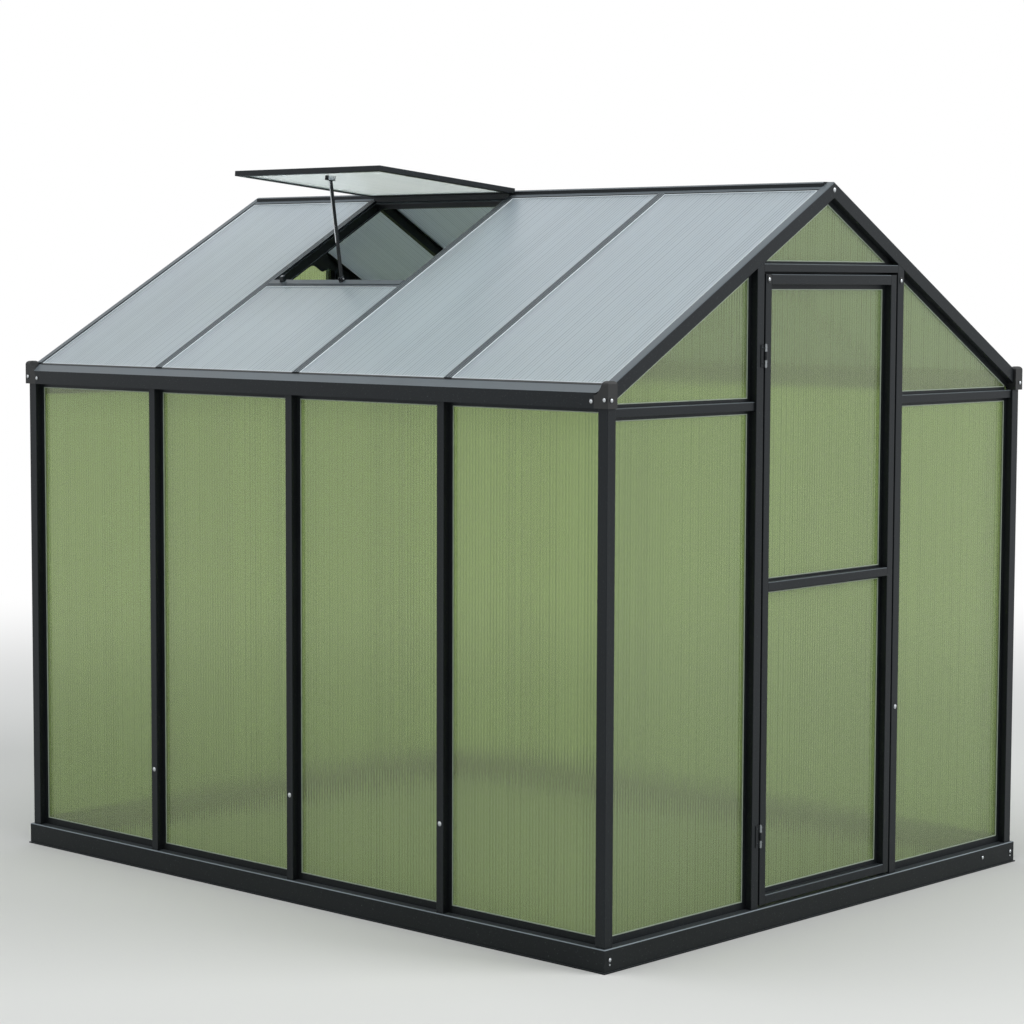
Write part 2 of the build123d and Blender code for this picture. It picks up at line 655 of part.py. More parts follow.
def vent_stay():
    """Flat stay that leans a little from a fork on the sill up to a plate under the vent."""
    front, back = vent_bay()
    top_y = (front + back) / 2
    foot_y = top_y - STAY_LEAN
    foot = APEX + DOWN_SLOPE * (SILL_FROM + 9) + SLOPE_UP * STAY_PIN + Vector(0, foot_y, 0)
    head = VENT_HINGE + VENT_OUT * STAY_AT + Vector(0, top_y, 0)
    run = head - foot
    direction = run.normalized()
    plane = Plane(origin=foot - direction * 5, x_dir=(0, 1, 0), z_dir=direction)
    arm = extrude(plane * Rectangle(4, 11), run.length + 5)
    fork_top = STAY_PIN + 6
    u0, u1 = SILL_FROM + 1, SILL_FROM + 17
    fork = across_slope(rect(u0, SILL_RISE, u1, fork_top), foot_y - 6, foot_y + 6)
    fork -= across_slope(rect(u0, SILL_RISE + SKIN, u1, fork_top), foot_y - 3, foot_y + 3)
    plate = vent_across(rect(STAY_AT - 15, -8, STAY_AT + 15, VENT_SHEET_LOW), top_y - 7, top_y + 7)
    pin = Pos(foot) * Rot(90, 0, 0) * Cylinder(2.5, 16)
    return arm + fork + plate + pin


def sill_catch():
    """Small hooked catch on the sill near its back end, where the closed vent would latch."""
    hook = outline([(4, 0), (18, 0), (18, 4), (12, 16), (2, 16), (2, 12), (8, 10)])
    return across_slope(Pos(SILL_FROM, SILL_RISE) * hook, CATCH_Y, CATCH_Y + 14)


def roof_gusset():
    """Plate with a rounded lobe and a swept tail, under the bar at the back of the vent bay."""
    start, end = GUSSET_AT, GUSSET_AT + 90
    foot = BAR_BOTTOM
    top, low = foot + 1, foot - GUSSET_DEEP
    sweep = Spline((start + 34, low), (start + 52, low + 14), (start + 68, foot - 9), (end, foot - 4),
                   tangents=((1, 0), (1, 0)))
    edges = [Line((start, top), (start, low + 12)),
             ThreePointArc((start, low + 12), (start + 10, low + 1), (start + 34, low)),
             sweep, Line((end, foot - 4), (end, top)), Line((end, top), (start, top))]
    y = BAR_YS[2]
    return across_slope(make_face(Wire(edges)), y - 1.5, y + 1.5)


# Door leaf

def door_edges():
    return -JAMB_INNER + DOOR_GAP, BASE_TOP + DOOR_GAP, JAMB_INNER - DOOR_GAP, HEADER_LOW - DOOR_GAP


def door_stile_section():
    """Stile with its outer edge at zero: face box, flange over the sheet and an inner lip."""
    section = rect(0, 0, STILE, PANEL_FROM)
    section += rect(0, PANEL_FROM, STILE - 8, DOOR_DEEP)
    section += rect(STILE, FLANGE_FROM, STILE + FLANGE, PANEL_FROM)
    section += rect(0, DOOR_DEEP - 1, STILE + LIP, DOOR_DEEP + 1)
    section -= rect(SKIN, SKIN, STILE - SKIN, FLANGE_FROM)
    return soften(section, lambda a, d: d < 0.01)


def door_stile(x, z0, z1):
    return upright_front(door_stile_section(), x, z0, z1)


def door_rail_section(low, high, flange_below, flange_above):
    section = rect(0, low, PANEL_FROM, high)
    section += rect(FLANGE_FROM, low - flange_below, PANEL_FROM, high + flange_above)
    section -= rect(SKIN, low + SKIN, FLANGE_FROM, high - SKIN)
    return soften_level(section, 0)


def door_rail(low, high, flange_below, flange_above):
    x0, _, x1, _ = door_edges()
    section = door_rail_section(low, high, flange_below, flange_above)
    rail = level_front(section, x0 + STILE, x1 - STILE)
    depth = -FACE_Y + FLANGE_FROM
    for side in both(block(x0, depth, low - 40, x0 + STILE + FLANGE, depth + 40, high + 40), Plane.YZ):
        rail -= side
    return rail


def door_sheet(z0, z1):
    x0, _, x1, _ = door_edges()
    inset = STILE - 8 + FIT
    y0 = -FACE_Y + PANEL_FROM
    return block(x0 + inset, y0, z0, x1 - inset, y0 + 5, z1)


def hinge_parts(z):
    """Butt hinge: a jamb leaf with two knuckles and the pin, and a door leaf with one knuckle."""
    x = -JAMB_INNER + DOOR_GAP / 2
    y = -FACE_Y - KNUCKLE_RADIUS - 0.2
    low = z - HINGE_TALL / 2
    high = low + HINGE_TALL
    joint_low, joint_high = low + HINGE_TALL / 3, high - HINGE_TALL / 3
    play = HINGE_PLAY
    barrel = Pos(x, y, z) * Cylinder(KNUCKLE_RADIUS, HINGE_TALL)
    middle = block(x - 9, y - 9, joint_low, x + 9, y + 9, joint_high)
    pin = Pos(x, y, z) * Cylinder(PIN_RADIUS, HINGE_TALL + 3)
    leaf_y = -FACE_Y - LEAF_THICK
    jamb_leaf = block(x - LEAF_REACH, leaf_y, low, x - 1.5, -FACE_Y, high)
    door_leaf = block(x + 1.5, leaf_y, low, x + LEAF_REACH, -FACE_Y, high)
    near = block(x - 5, y - 9, joint_low - play, x + 5, y + 9, joint_high + play)
    ends_low = block(x - 5, y - 9, low - 3, x + 5, y + 9, joint_low + play)
    ends_high = block(x - 5, y - 9, joint_high - play, x + 5, y + 9, high + 3)
    fixed = (barrel - near) + (jamb_leaf - near) + pin
    bore = Pos(x, y, z) * Cylinder(PIN_RADIUS + play, HINGE_TALL + 3)
    moving = (barrel & middle) + (door_leaf - ends_low - ends_high) - bore
    return fixed, moving


# Flat sheets of the walls

def side_sheets():
    x0 = -FACE_X + PANEL_FROM
    end = FACE_Y - POST_WIDE - FIT
    gap = SPINE_HALF + FIT
    lines = [-end] + [y for bar in BAR_YS for y in (bar - gap, bar + gap)] + [end]
    low = BASE_TOP + 3 + FIT
    return [block(x0, y0, low, x0 + PANEL_THICK, y1, GUTTER_FLOOR - FIT)
            for y0, y1 in zip(lines[0::2], lines[1::2])]


def gable_sheet(points):
    plane = Plane(origin=(0, -FACE_Y + PANEL_TO, 0), x_dir=(1, 0, 0), z_dir=(0, -1, 0))
    return extrude(plane * outline(points), PANEL_THICK)


def under_rafter(x):
    return slope_z(x, RAFTER_BOTTOM - FIT)


def gable_side_sheets(inner):
    """Lower and upper sheet between the corner post and an upright whose face is at inner."""
    x0 = -FACE_X + POST_WIDE + FIT
    middle = (RAIL_LOW + RAIL_HIGH) / 2
    low = BASE_TOP + 3 + FIT
    lower = [(x0, low), (inner, low), (inner, middle - 2 - FIT), (x0, middle - 2 - FIT)]
    upper = [(x0, middle + 2 + FIT), (inner, middle + 2 + FIT), (inner, under_rafter(inner)),
             (x0, under_rafter(x0))]
    return gable_sheet(lower), gable_sheet(upper)


def apex_points(half, low):
    top = RIDGE_BOTTOM - FIT
    top_half = (under_rafter(0) - top) / math.tan(math.radians(PITCH))
    return [(-half, low), (half, low), (half, under_rafter(half)), (top_half, top), (-top_half, top),
            (-half, under_rafter(half))]


def build():
    nodes = {}
    nodes["base_rail_front"] = [base_rail_front()]
    nodes["base_rail_back"] = [base_rail_back()]
    nodes["base_rail_left"] = [base_rail_left()]
    nodes["base_rail_right"] = [mirror(base_rail_left(), Plane.YZ)]
    nodes["front_sill_channels"] = both(front_sill_channel(), Plane.YZ)

    corners = ("front_left", "back_left", "front_right", "back_right")
    for name, post in zip(corners, four(corner_post())):
        nodes["corner_post_" + name] = [post]
    left_bars = [wall_bar(y) for y in BAR_YS]
    nodes["left_wall_bars"] = left_bars
    nodes["right_wall_bars"] = [mirror(bar, Plane.YZ) for bar in left_bars]
    nodes["left_gutter"] = [gutter()]
    nodes["right_gutter"] = [mirror(gutter(), Plane.YZ)]
    nodes["eave_corner_brackets"] = four(eave_bracket())

    jamb = door_jamb()
    nodes["door_jamb_hinge_side"] = [jamb]
    nodes["door_jamb_latch_side"] = [mirror(jamb, Plane.YZ)]
    nodes["door_header"] = [door_header()]
    post_inner = -FACE_X + POST_WIDE
    nodes["front_gable_rails"] = both(gable_rail(post_inner, -JAMB_OUTER, FLANGE, FLANGE), Plane.YZ)
    bar_x = (JAMB_INNER + JAMB_OUTER) / 2
    nodes["back_gable_bars"] = [back_gable_bar(-bar_x), back_gable_bar(bar_x)]
    back_side = gable_rail(post_inner, -bar_x - BAR_HALF, FLANGE, FLANGE)
    back_middle = gable_rail(-bar_x + BAR_HALF, bar_x - BAR_HALF, FLANGE, FLANGE)
    nodes["back_gable_rails"] = [mirror(rail, Plane.XZ) for rail in both(back_side, Plane.YZ) + [back_middle]]

    for name, rafter in zip(corners, four(gable_rafter())):
        nodes["gable_rafter_" + name] = [rafter]
    nodes["ridge"] = [ridge()]
    left_roof = [roof_bar(y) for y in BAR_YS]
    nodes["left_roof_bars"] = left_roof[:2] + [left_roof[2] + roof_gusset()]
    nodes["right_roof_bars"] = [mirror(bar, Plane.YZ) for bar in left_roof]

    nodes["vent_sill"] = [vent_sill() + sill_catch()]
    nodes["vent_side_rails"] = vent_side_rails()
    nodes["vent_hinge_rail"] = [vent_hinge_rail()]
    nodes["vent_free_rail"] = [vent_free_rail()]
    nodes["vent_sheet"] = [vent_sheet()]
    nodes["vent_stay"] = [vent_stay()]

    sides = side_sheets()
    nodes["left_wall_sheets"] = sides
    nodes["right_wall_sheets"] = [mirror(sheet, Plane.YZ) for sheet in sides]
    lower, upper = gable_side_sheets(-JAMB_OUTER - FIT)
    nodes["front_gable_sheets"] = both(lower, Plane.YZ) + both(upper, Plane.YZ)
    nodes["front_apex_sheet"] = [gable_sheet(apex_points(JAMB_INNER - FIT, HEADER_LOW + SKIN + FIT))]
    lower, upper = gable_side_sheets(-bar_x - SPINE_HALF - FIT)
    middle = (RAIL_LOW + RAIL_HIGH) / 2
    half = bar_x - SPINE_HALF - FIT
    low = BASE_TOP + 3 + FIT
    centre = gable_sheet([(-half, low), (half, low), (half, middle - 2 - FIT), (-half, middle - 2 - FIT)])
    peak = gable_sheet(apex_points(half, middle + 2 + FIT))
    back = both(lower, Plane.YZ) + both(upper, Plane.YZ) + [centre, peak]
    nodes["back_gable_sheets"] = [mirror(sheet, Plane.XZ) for sheet in back]
    whole = [roof_sheet(y0, y1) for y0, y1 in bay_edges()]
    nodes["right_roof_sheets"] = [mirror(sheet, Plane.YZ) for sheet in whole]
    vent_y0, vent_y1 = bay_edges()[2]
    below_vent = roof_sheet(vent_y0, vent_y1, SILL_TO + FIT)
    nodes["left_roof_sheets"] = [whole[0], whole[1], below_vent, whole[3]]

    x0, z0, x1, z1 = door_edges()
    hinge_stile = door_stile(x0, z0, z1)
    nodes["door_stile_hinge_side"] = [hinge_stile]
    nodes["door_stile_latch_side"] = [mirror(hinge_stile, Plane.YZ)]
    nodes["door_bottom_rail"] = [door_rail(z0, z0 + STILE, 0, FLANGE)]
    nodes["door_middle_rail"] = [door_rail(DOOR_MID_LOW, DOOR_MID_HIGH, 6, 6)]
    nodes["door_top_rail"] = [door_rail(z1 - DOOR_TOP_RAIL, z1, FLANGE, 0)]
    nodes["door_sheet"] = [door_sheet(z0 + 2, z1 - 2)]
    hinges = [hinge_parts(z) for z in HINGE_HEIGHTS]
    nodes["hinge_jamb_leaves"] = [fixed for fixed, _ in hinges]
    nodes["hinge_door_leaves"] = [moving for _, moving in hinges]
    return nodes


os.makedirs("parts", exist_ok=True)
# One file a node; a node of several like pieces is written as one compound
for node, solids in build().items():
    shape = solids[0] if len(solids) == 1 else Compound(solids)
    export_step(shape, "parts/" + node + ".step")
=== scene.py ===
import math

import bmesh
import bpy
from mathutils import Euler, Matrix, Vector


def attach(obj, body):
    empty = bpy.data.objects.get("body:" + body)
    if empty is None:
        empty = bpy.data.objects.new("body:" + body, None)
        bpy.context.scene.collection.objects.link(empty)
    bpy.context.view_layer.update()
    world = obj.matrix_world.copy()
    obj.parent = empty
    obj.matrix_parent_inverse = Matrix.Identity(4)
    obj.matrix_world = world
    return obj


# Metres, in the shared frame: X across the gable, Y along the house with the door at -Y, Z up.

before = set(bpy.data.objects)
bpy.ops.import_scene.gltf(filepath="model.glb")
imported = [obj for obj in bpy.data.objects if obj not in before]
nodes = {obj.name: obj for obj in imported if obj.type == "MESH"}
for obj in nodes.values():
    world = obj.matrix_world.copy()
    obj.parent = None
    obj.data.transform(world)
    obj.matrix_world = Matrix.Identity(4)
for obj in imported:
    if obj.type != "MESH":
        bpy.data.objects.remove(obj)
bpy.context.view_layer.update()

# Directions, the two sides and the two ends of the house
LEFT, RIGHT, FRONT, BACK = (-1, 0, 0), (1, 0, 0), (0, -1, 0), (0, 1, 0)
SIDES = ((-1, LEFT, "left"), (1, RIGHT, "right"))
ENDS = ((-1, FRONT), (1, BACK))

# The house's own sizes that the fittings are set out from
FACE_X, FACE_Y = 0.942, 1.182
BASE_X, BASE_Y = 0.950, 1.190
BAR_YS = (-0.595, 0.0, 0.595)
SHEET_DEPTH = 0.024
FLANGE_REACH = 0.025
POST_REACH = 0.044
CHANNEL_TOP = 0.082
WALL_TOP = 1.428
RAIL_BELOW, RAIL_ABOVE = 1.406, 1.446
JAMB_MIDDLE, JAMB_REACH, JAMB_INNER = 0.322, 0.349, 0.307
HEADER_TOP = 1.812
GLAZE_APEX = 2.026
PITCH = math.radians(30)
RAFTER_FLANGE_DROP = 0.048
RAFTER_REACH, ROOF_BAR_REACH = 0.030, 0.013
ROOF_FOOT, ROOF_HEAD, SILL_FOOT = -1.053, -0.041, -0.575
SLOT_DEEP = 0.044
DOOR_SHEET_X = 0.263
DOOR_PANES = ((0.106, 0.920), (0.956, 1.738))
HINGE_X, HINGE_Y = -0.304, -1.186
HINGE_HEIGHTS = (0.26, 1.56)
HINGE_LEAF_THICK = 0.002

# Bolt places on the faces: heights, then pairs of the distance along a face and the height
BAR_BOLT_Z, RIDGE_BOLT_Z, BASE_SCREW_Z = 0.305, 2.009, 0.021
JAMB_LOW, JAMB_HIGH, DOOR_CORNER = (0.324, 0.545), (0.323, 1.762), (-0.287, 1.764)
BRACKET_ALONG = ((1.134, 1.456), (1.178, 1.460))
BRACKET_ACROSS = (0.937, 1.459)
BASE_CORNER, BASE_INNER = (0.930, 0.034), (0.780, 0.037)


def linear(hex_colour):
    """An sRGB hex colour as linear RGBA."""
    values = [int(hex_colour[i:i + 2], 16) / 255 for i in (1, 3, 5)]
    return [v / 12.92 if v <= 0.04045 else ((v + 0.055) / 1.055) ** 2.4 for v in values] + [1.0]


def feed(tree, node, inputs):
    """Gives a node its inputs, which are values or the sockets to link from."""
    for name, value in inputs.items():
        if isinstance(value, bpy.types.NodeSocket):
            tree.links.new(value, node.inputs[name])
        else:
            node.inputs[name].default_value = value


def add(tree, kind, inputs=None, **settings):
    """Adds a node with its settings and its inputs."""
    node = tree.nodes.new("ShaderNode" + kind)
    for name, value in settings.items():
        setattr(node, name, value)
    feed(tree, node, inputs or {})
    return node


def new_material(name):
    """A material with its tree, its shader and the object's own coordinates."""
    material = bpy.data.materials.new(name)
    material.use_nodes = True
    tree = material.node_tree
    shader = tree.nodes["Principled BSDF"]
    place = add(tree, "TexCoord").outputs["Object"]
    return material, tree, shader, place


def sine_of(tree, value, period):
    """Sine of a coordinate with the given period in metres."""
    phase = add(tree, "Math", {0: value, 1: 2 * math.pi / period}, operation="MULTIPLY")
    return add(tree, "Math", {0: phase.outputs[0]}, operation="SINE").outputs[0]


# Materials. A Mix node has its share at 0, its two colours at 6 and 7 and its result at 2

# The coat's reflections are tinted pale blue: a painted reflection of a blue sky.
COAT_SHINE, COAT_SHINE_TINT = 0.25, "#e2edf6"
PEEL_DEPTH, PEEL_GLINT = 0.0004, "#5d6463"
POLYCARBONATE_IOR = 1.58
RIB_PITCH = 0.011


def coated_metal(name, dark, light, roughness, grain, highlight_colour="#5c6469"):
    """Powder coat baked on metal: near black, satin, with the fine orange peel of cured powder.

    The peel is about a millimetre across in the real coat. Here it is as coarse as grain says, so
    that it shows as the faint sparkle on the lit faces, with a painted glint of lighter specks on it.
    The sloping tops and the upper edges are painted paler as a highlight, for the sky that they
    catch, so these show as grey strips and fine lines. Level tops are left out of this painted
    highlight and stay darker."""
    material, tree, shader, place = new_material(name)
    peel = add(tree, "TexNoise", {"Vector": place, "Scale": 1 / grain, "Detail": 3.0,
                                  "Roughness": 0.6}).outputs["Fac"]
    cloud = add(tree, "TexNoise", {"Vector": place, "Scale": 5.0, "Detail": 4.0}).outputs["Fac"]
    tone = add(tree, "Mix", {0: cloud, 6: linear(dark), 7: linear(light)}, data_type="RGBA")
    # Painted glint: the peaks of the peel are mixed towards a lighter colour.
    speck = add(tree, "MapRange", {"Value": peel, "From Min": 0.62, "From Max": 0.78, "To Max": 0.5})
    sparkle = add(tree, "Mix", {0: speck.outputs[0], 6: tone.outputs[2], 7: linear(PEEL_GLINT)},
                  data_type="RGBA")
    # Painted highlight: the sloping tops and upper edges, but not the level tops, are mixed towards the
    # highlight colour, for the sky that they catch.
    upward = add(tree, "SeparateXYZ", {0: add(tree, "NewGeometry").outputs["Normal"]}).outputs["Z"]
    sloping = add(tree, "MapRange", {"Value": upward, "From Min": 0.2, "From Max": 0.55})
    not_level = add(tree, "MapRange", {"Value": upward, "From Min": 0.93, "From Max": 0.995,
                                       "To Min": 1.0, "To Max": 0.12})
    highlight_mask = add(tree, "Math", {0: sloping.outputs[0], 1: not_level.outputs[0]}, operation="MULTIPLY")
    patchy = add(tree, "MapRange", {"Value": cloud, "From Min": 0.3, "From Max": 0.7, "To Min": 0.8})
    share = add(tree, "Math", {0: highlight_mask.outputs[0], 1: patchy.outputs[0]}, operation="MULTIPLY")
    highlighted_coat = add(tree, "Mix", {0: share.outputs[0], 6: sparkle.outputs[2], 7: linear(highlight_colour)},
                    data_type="RGBA")
    sheen = add(tree, "MapRange", {"Value": cloud, "From Min": 0.3, "From Max": 0.7,
                                   "To Min": roughness - 0.05, "To Max": roughness + 0.07})
    bump = add(tree, "Bump", {"Height": peel, "Strength": 0.35, "Distance": PEEL_DEPTH})
    feed(tree, shader, {"Base Color": highlighted_coat.outputs[2], "Roughness": sheen.outputs[0],
                        "Normal": bump.outputs[0], "Specular IOR Level": COAT_SHINE,
                        "Specular Tint": linear(COAT_SHINE_TINT)})
    return material


def twin_wall(name, axis, tint, shade, milk, roughness, swell_depth, haze=0.0):
    """Twin-wall polycarbonate: two clear extruded skins joined by upright ribs.

    The ribs and the lens-like swell of the skins between them smear the view sideways, so level
    things stay readable through it and upright ones melt away. The real ribs are 6 mm apart; they are
    drawn 11 mm apart, the finest that the picture can hold. Milk is the share that the skins hold
    back, and haze is the share of the daylight from behind that the ribs scatter through, which makes
    a sheet glow when it is seen from below."""
    swell_spread, swell_least = 0.7, 0.65
    line_spread, line_least = 0.6, 0.25
    material, tree, shader, place = new_material(name)
    across = add(tree, "SeparateXYZ", {0: place}).outputs[axis]
    wave = sine_of(tree, across, RIB_PITCH)
    count = add(tree, "Math", {0: across, 1: 1 / RIB_PITCH}, operation="MULTIPLY").outputs[0]
    flute = add(tree, "Math", {0: count}, operation="FLOOR").outputs[0]
    chance = add(tree, "TexWhiteNoise", {"W": flute}, noise_dimensions="1D").outputs["Value"]
    swell = add(tree, "Math", {0: chance, 1: swell_spread, 2: swell_least},
                operation="MULTIPLY_ADD").outputs[0]
    height = add(tree, "Math", {0: wave, 1: swell}, operation="MULTIPLY").outputs[0]
    bent = add(tree, "Bump", {"Height": height, "Strength": 1.0, "Distance": swell_depth}).outputs[0]
    rib = add(tree, "MapRange", {"Value": wave, "From Min": 0.35, "From Max": 1.0}).outputs[0]
    uneven = add(tree, "Math", {0: chance, 1: line_spread, 2: line_least},
                 operation="MULTIPLY_ADD").outputs[0]
    line = add(tree, "Math", {0: rib, 1: uneven}, operation="MULTIPLY").outputs[0]
    tone = add(tree, "Mix", {0: line, 6: linear(tint), 7: linear(shade)}, data_type="RGBA").outputs[2]
    feed(tree, shader, {"Base Color": tone, "Normal": bent, "Transmission Weight": 1.0 - milk,
                        "Roughness": roughness, "IOR": POLYCARBONATE_IOR})
    if haze:
        glow = add(tree, "BsdfTranslucent", {"Color": tone, "Normal": bent})
        both = add(tree, "MixShader", {0: haze, 1: shader.outputs[0], 2: glow.outputs[0]})
        feed(tree, tree.nodes["Material Output"], {"Surface": both.outputs[0]})
    return material


def moulded_nylon(name, dark, light):
    """Glass-filled nylon from a textured mould: black, dull, with a fine even grain."""
    material, tree, shader, place = new_material(name)
    grain = add(tree, "TexVoronoi", {"Vector": place, "Scale": 600.0}).outputs["Distance"]
    flow = add(tree, "TexNoise", {"Vector": place, "Scale": 40.0, "Detail": 3.0}).outputs["Fac"]
    tone = add(tree, "Mix", {0: flow, 6: linear(dark), 7: linear(light)}, data_type="RGBA")
    bump = add(tree, "Bump", {"Height": grain, "Strength": 0.3, "Distance": 0.0004})
    feed(tree, shader, {"Base Color": tone.outputs[2], "Normal": bump.outputs[0],
                        "Roughness": 0.5, "Specular IOR Level": 0.4})
    return material


def zinc_plate(name, light, dark):
    """Zinc on steel fasteners: silver, a little blue, with a fine crystalline mottle."""
    material, tree, shader, place = new_material(name)
    mottle = add(tree, "TexVoronoi", {"Vector": place, "Scale": 450.0}).outputs["Distance"]
    tone = add(tree, "Mix", {0: mottle, 6: linear(light), 7: linear(dark)}, data_type="RGBA")
    rough = add(tree, "MapRange", {"Value": mottle, "To Min": 0.2, "To Max": 0.36})
    feed(tree, shader, {"Base Color": tone.outputs[2], "Metallic": 1.0, "Roughness": rough.outputs[0]})
    return material


def extruded_bead(name, dark, light):
    """Glazing bead: soft thermoplastic drawn from a die, satin, with a faint lengthwise waver."""
    material, tree, shader, place = new_material(name)
    waver = add(tree, "TexNoise", {"Vector": place, "Scale": 60.0, "Detail": 2.0}).outputs["Fac"]
    tone = add(tree, "Mix", {0: waver, 6: linear(dark), 7: linear(light)}, data_type="RGBA")
    bump = add(tree, "Bump", {"Height": waver, "Strength": 0.3, "Distance": 0.0005})
    feed(tree, shader, {"Base Color": tone.outputs[2], "Normal": bump.outputs[0], "Roughness": 0.45})
    return material


FRAME_COAT = coated_metal("powder_coated_aluminium", "#121416", "#1c1f21", roughness=0.4, grain=0.0035)
# The base's highlight colour is paler still: a painted highlight for the sky that the edge of its ledge
# catches.
BASE_COAT = coated_metal("powder_coated_base_steel", "#0f1111", "#181b1b", roughness=0.46, grain=0.004,
                         highlight_colour="#8d979e")
HINGE_COAT = coated_metal("black_passivated_steel", "#151617", "#26282a", roughness=0.34, grain=0.002)
STAY_COAT = coated_metal("black_coated_stay_steel", "#131415", "#1d1f20", roughness=0.4, grain=0.002)
# The walls' green is partly a faint real tint of the clear polycarbonate and mostly a painted reflection
# of green surroundings seen in and through the sheets.
WALL_SHEET = twin_wall("twin_wall_polycarbonate_walls", "Y", "#c7d99c", "#98ae70",
                       milk=0.26, roughness=0.08, swell_depth=0.00012)
# The gable and door sheets are the same polycarbonate as the walls, with the same painted green, made
# darker as painted shade.
GABLE_SHEET = twin_wall("twin_wall_polycarbonate_gables", "X", "#b3c68c", "#86995f",
                        milk=0.26, roughness=0.08, swell_depth=0.00012)
# The roof sheets are the same clear polycarbonate; their pale blue-grey is a painted reflection of the
# sky.
ROOF_SHEET = twin_wall("twin_wall_polycarbonate_roof", "Y", "#cbd8e0", "#6a7c88",
                       milk=0.42, roughness=0.3, swell_depth=0.0001)
# The vent's sheet is the same polycarbonate as the roof, painted paler so that its underside looks lit
# from above: painted light.
VENT_SHEET = twin_wall("twin_wall_polycarbonate_vent", "Y", "#eef2f0", "#c3ced1",
                       milk=0.3, roughness=0.2, swell_depth=0.00005, haze=0.4)
NYLON = moulded_nylon("moulded_black_nylon", "#141617", "#202324")
ZINC = zinc_plate("zinc_plated_steel", "#d3d7da", "#a9aeb2")
DULL_ZINC = zinc_plate("weathered_zinc_steel", "#a3a8ab", "#6c7174")
# The glazing beads are real, and their pale green is partly a painted highlight along the edges of the
# sheets.
SEAL = extruded_bead("glazing_seal", "#93a08f", "#aebaa8")
# The roof beads are real, and their near white is partly a painted highlight along the edges of the roof
# sheets.
ROOF_SEAL = extruded_bead("roof_glazing_seal", "#c9d3d8", "#e4ebee")
# The black eave gasket is a real rubber strip that also stands for the shade in the gap between the roof
# sheets and the eave cover: partly painted shade.
GASKET = extruded_bead("black_eave_gasket", "#0d1012", "#171b1e")


def coat_for(node):
    """The material of a CAD node, by what the node is."""
    if node == "vent_sheet":
        return VENT_SHEET
    if "roof_sheets" in node:
        return ROOF_SHEET
    if "wall_sheets" in node:
        return WALL_SHEET
    if "sheet" in node:
        return GABLE_SHEET
    if node.startswith("base_rail"):
        return BASE_COAT
    if node.startswith("hinge_"):
        return HINGE_COAT
    if node == "vent_stay":
        return STAY_COAT
    return NYLON if node == "eave_corner_brackets" else FRAME_COAT


for node, shown in nodes.items():
    shown.data.materials.clear()
    shown.data.materials.append(coat_for(node))


# Modelling

def start(operator, **sizes):
    """Adds a primitive with nothing else selected and opens it in edit mode."""
    bpy.ops.object.select_all(action="DESELECT")
    operator(**sizes)
    bpy.ops.object.mode_set(mode="EDIT")
    bpy.ops.mesh.select_mode(type="FACE")


def disc(vertices, radius, thick):
    """Opens a flat cylinder that stands on the XY plane."""
    start(bpy.ops.mesh.primitive_cylinder_add, vertices=vertices, radius=radius, depth=thick)
    bpy.ops.transform.translate(value=(0, 0, thick / 2))


def block(size_x, size_y, thick, middle_y=0.0):
    """Opens a flat block that stands on the XY plane."""
    start(bpy.ops.mesh.primitive_cube_add, size=1.0)
    bpy.ops.transform.resize(value=(size_x, size_y, thick))
    bpy.ops.transform.translate(value=(0, middle_y, thick / 2))


def pick(kind, test):
    """Selects the vertices, edges or faces of the mesh in edit mode that pass the test."""
    bpy.ops.mesh.select_mode(type={"verts": "VERT", "edges": "EDGE", "faces": "FACE"}[kind])
    bpy.ops.mesh.select_all(action="DESELECT")
    mesh = bmesh.from_edit_mesh(bpy.context.object.data)
    for item in getattr(mesh, kind):
        if test(item):
            item.select_set(True)
    mesh.select_flush_mode()
    bmesh.update_edit_mesh(bpy.context.object.data)


def facing_up(face):
    """Whether a face looks upwards."""
    return face.normal.z > 0.9


def slant(edge):
    """How far an edge climbs."""
    return abs(edge.verts[0].co.z - edge.verts[1].co.z)


def lowest(edge):
    """Height of the lower end of an edge."""
    return min(vertex.co.z for vertex in edge.verts)


def rise(height, shrink=1.0):
    """Extrudes the picked faces upwards and scales their far end about the Z axis."""
    bpy.ops.mesh.extrude_region_move(TRANSFORM_OT_translate={"value": (0, 0, height)})
    if shrink != 1.0:
        bpy.ops.transform.resize(value=(shrink, shrink, 1), center_override=(0, 0, 0))


def inset_and_lift(rim, lift):
    """Insets the picked faces by a rim and lifts or sinks what is inside it."""
    bpy.ops.mesh.inset(thickness=rim)
    bpy.ops.transform.translate(value=(0, 0, lift))


def done(smooth):
    """Closes edit mode with the faces turned outwards and smooth below an angle in degrees."""
    bpy.ops.mesh.select_all(action="SELECT")
    bpy.ops.mesh.normals_make_consistent(inside=False)
    bpy.ops.object.mode_set(mode="OBJECT")
    piece = bpy.context.object
    bpy.ops.object.transform_apply(location=True, rotation=True, scale=True)
    bpy.ops.object.shade_smooth_by_angle(angle=math.radians(smooth))
    return piece


def joined(pieces):
    """Joins pieces into one."""
    bpy.ops.object.select_all(action="DESELECT")
    for piece in pieces:
        piece.select_set(True)
    bpy.context.view_layer.objects.active = pieces[0]
    if len(pieces) > 1:
        bpy.ops.object.join()
    return bpy.context.object


def keep(piece, name, material, body):
    """Names a finished piece, coats it and rides it on its body."""
    piece.name = piece.data.name = name
    piece.data.materials.clear()
    piece.data.materials.append(material)
    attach(piece, body)


def repeat(pattern, places, name, material, body="root"):
    """Copies a pattern to every place and keeps the copies as one piece."""
    copies = []
    for place in places:
        copy = bpy.data.objects.new(name, pattern.data.copy())
        copy.data.transform(place)
        bpy.context.scene.collection.objects.link(copy)
        copies.append(copy)
    keep(joined(copies), name, material, body)


def discard(*patterns):
    """Removes patterns that were copied to all their places."""
    for pattern in patterns:
        bpy.data.objects.remove(pattern, do_unlink=True)


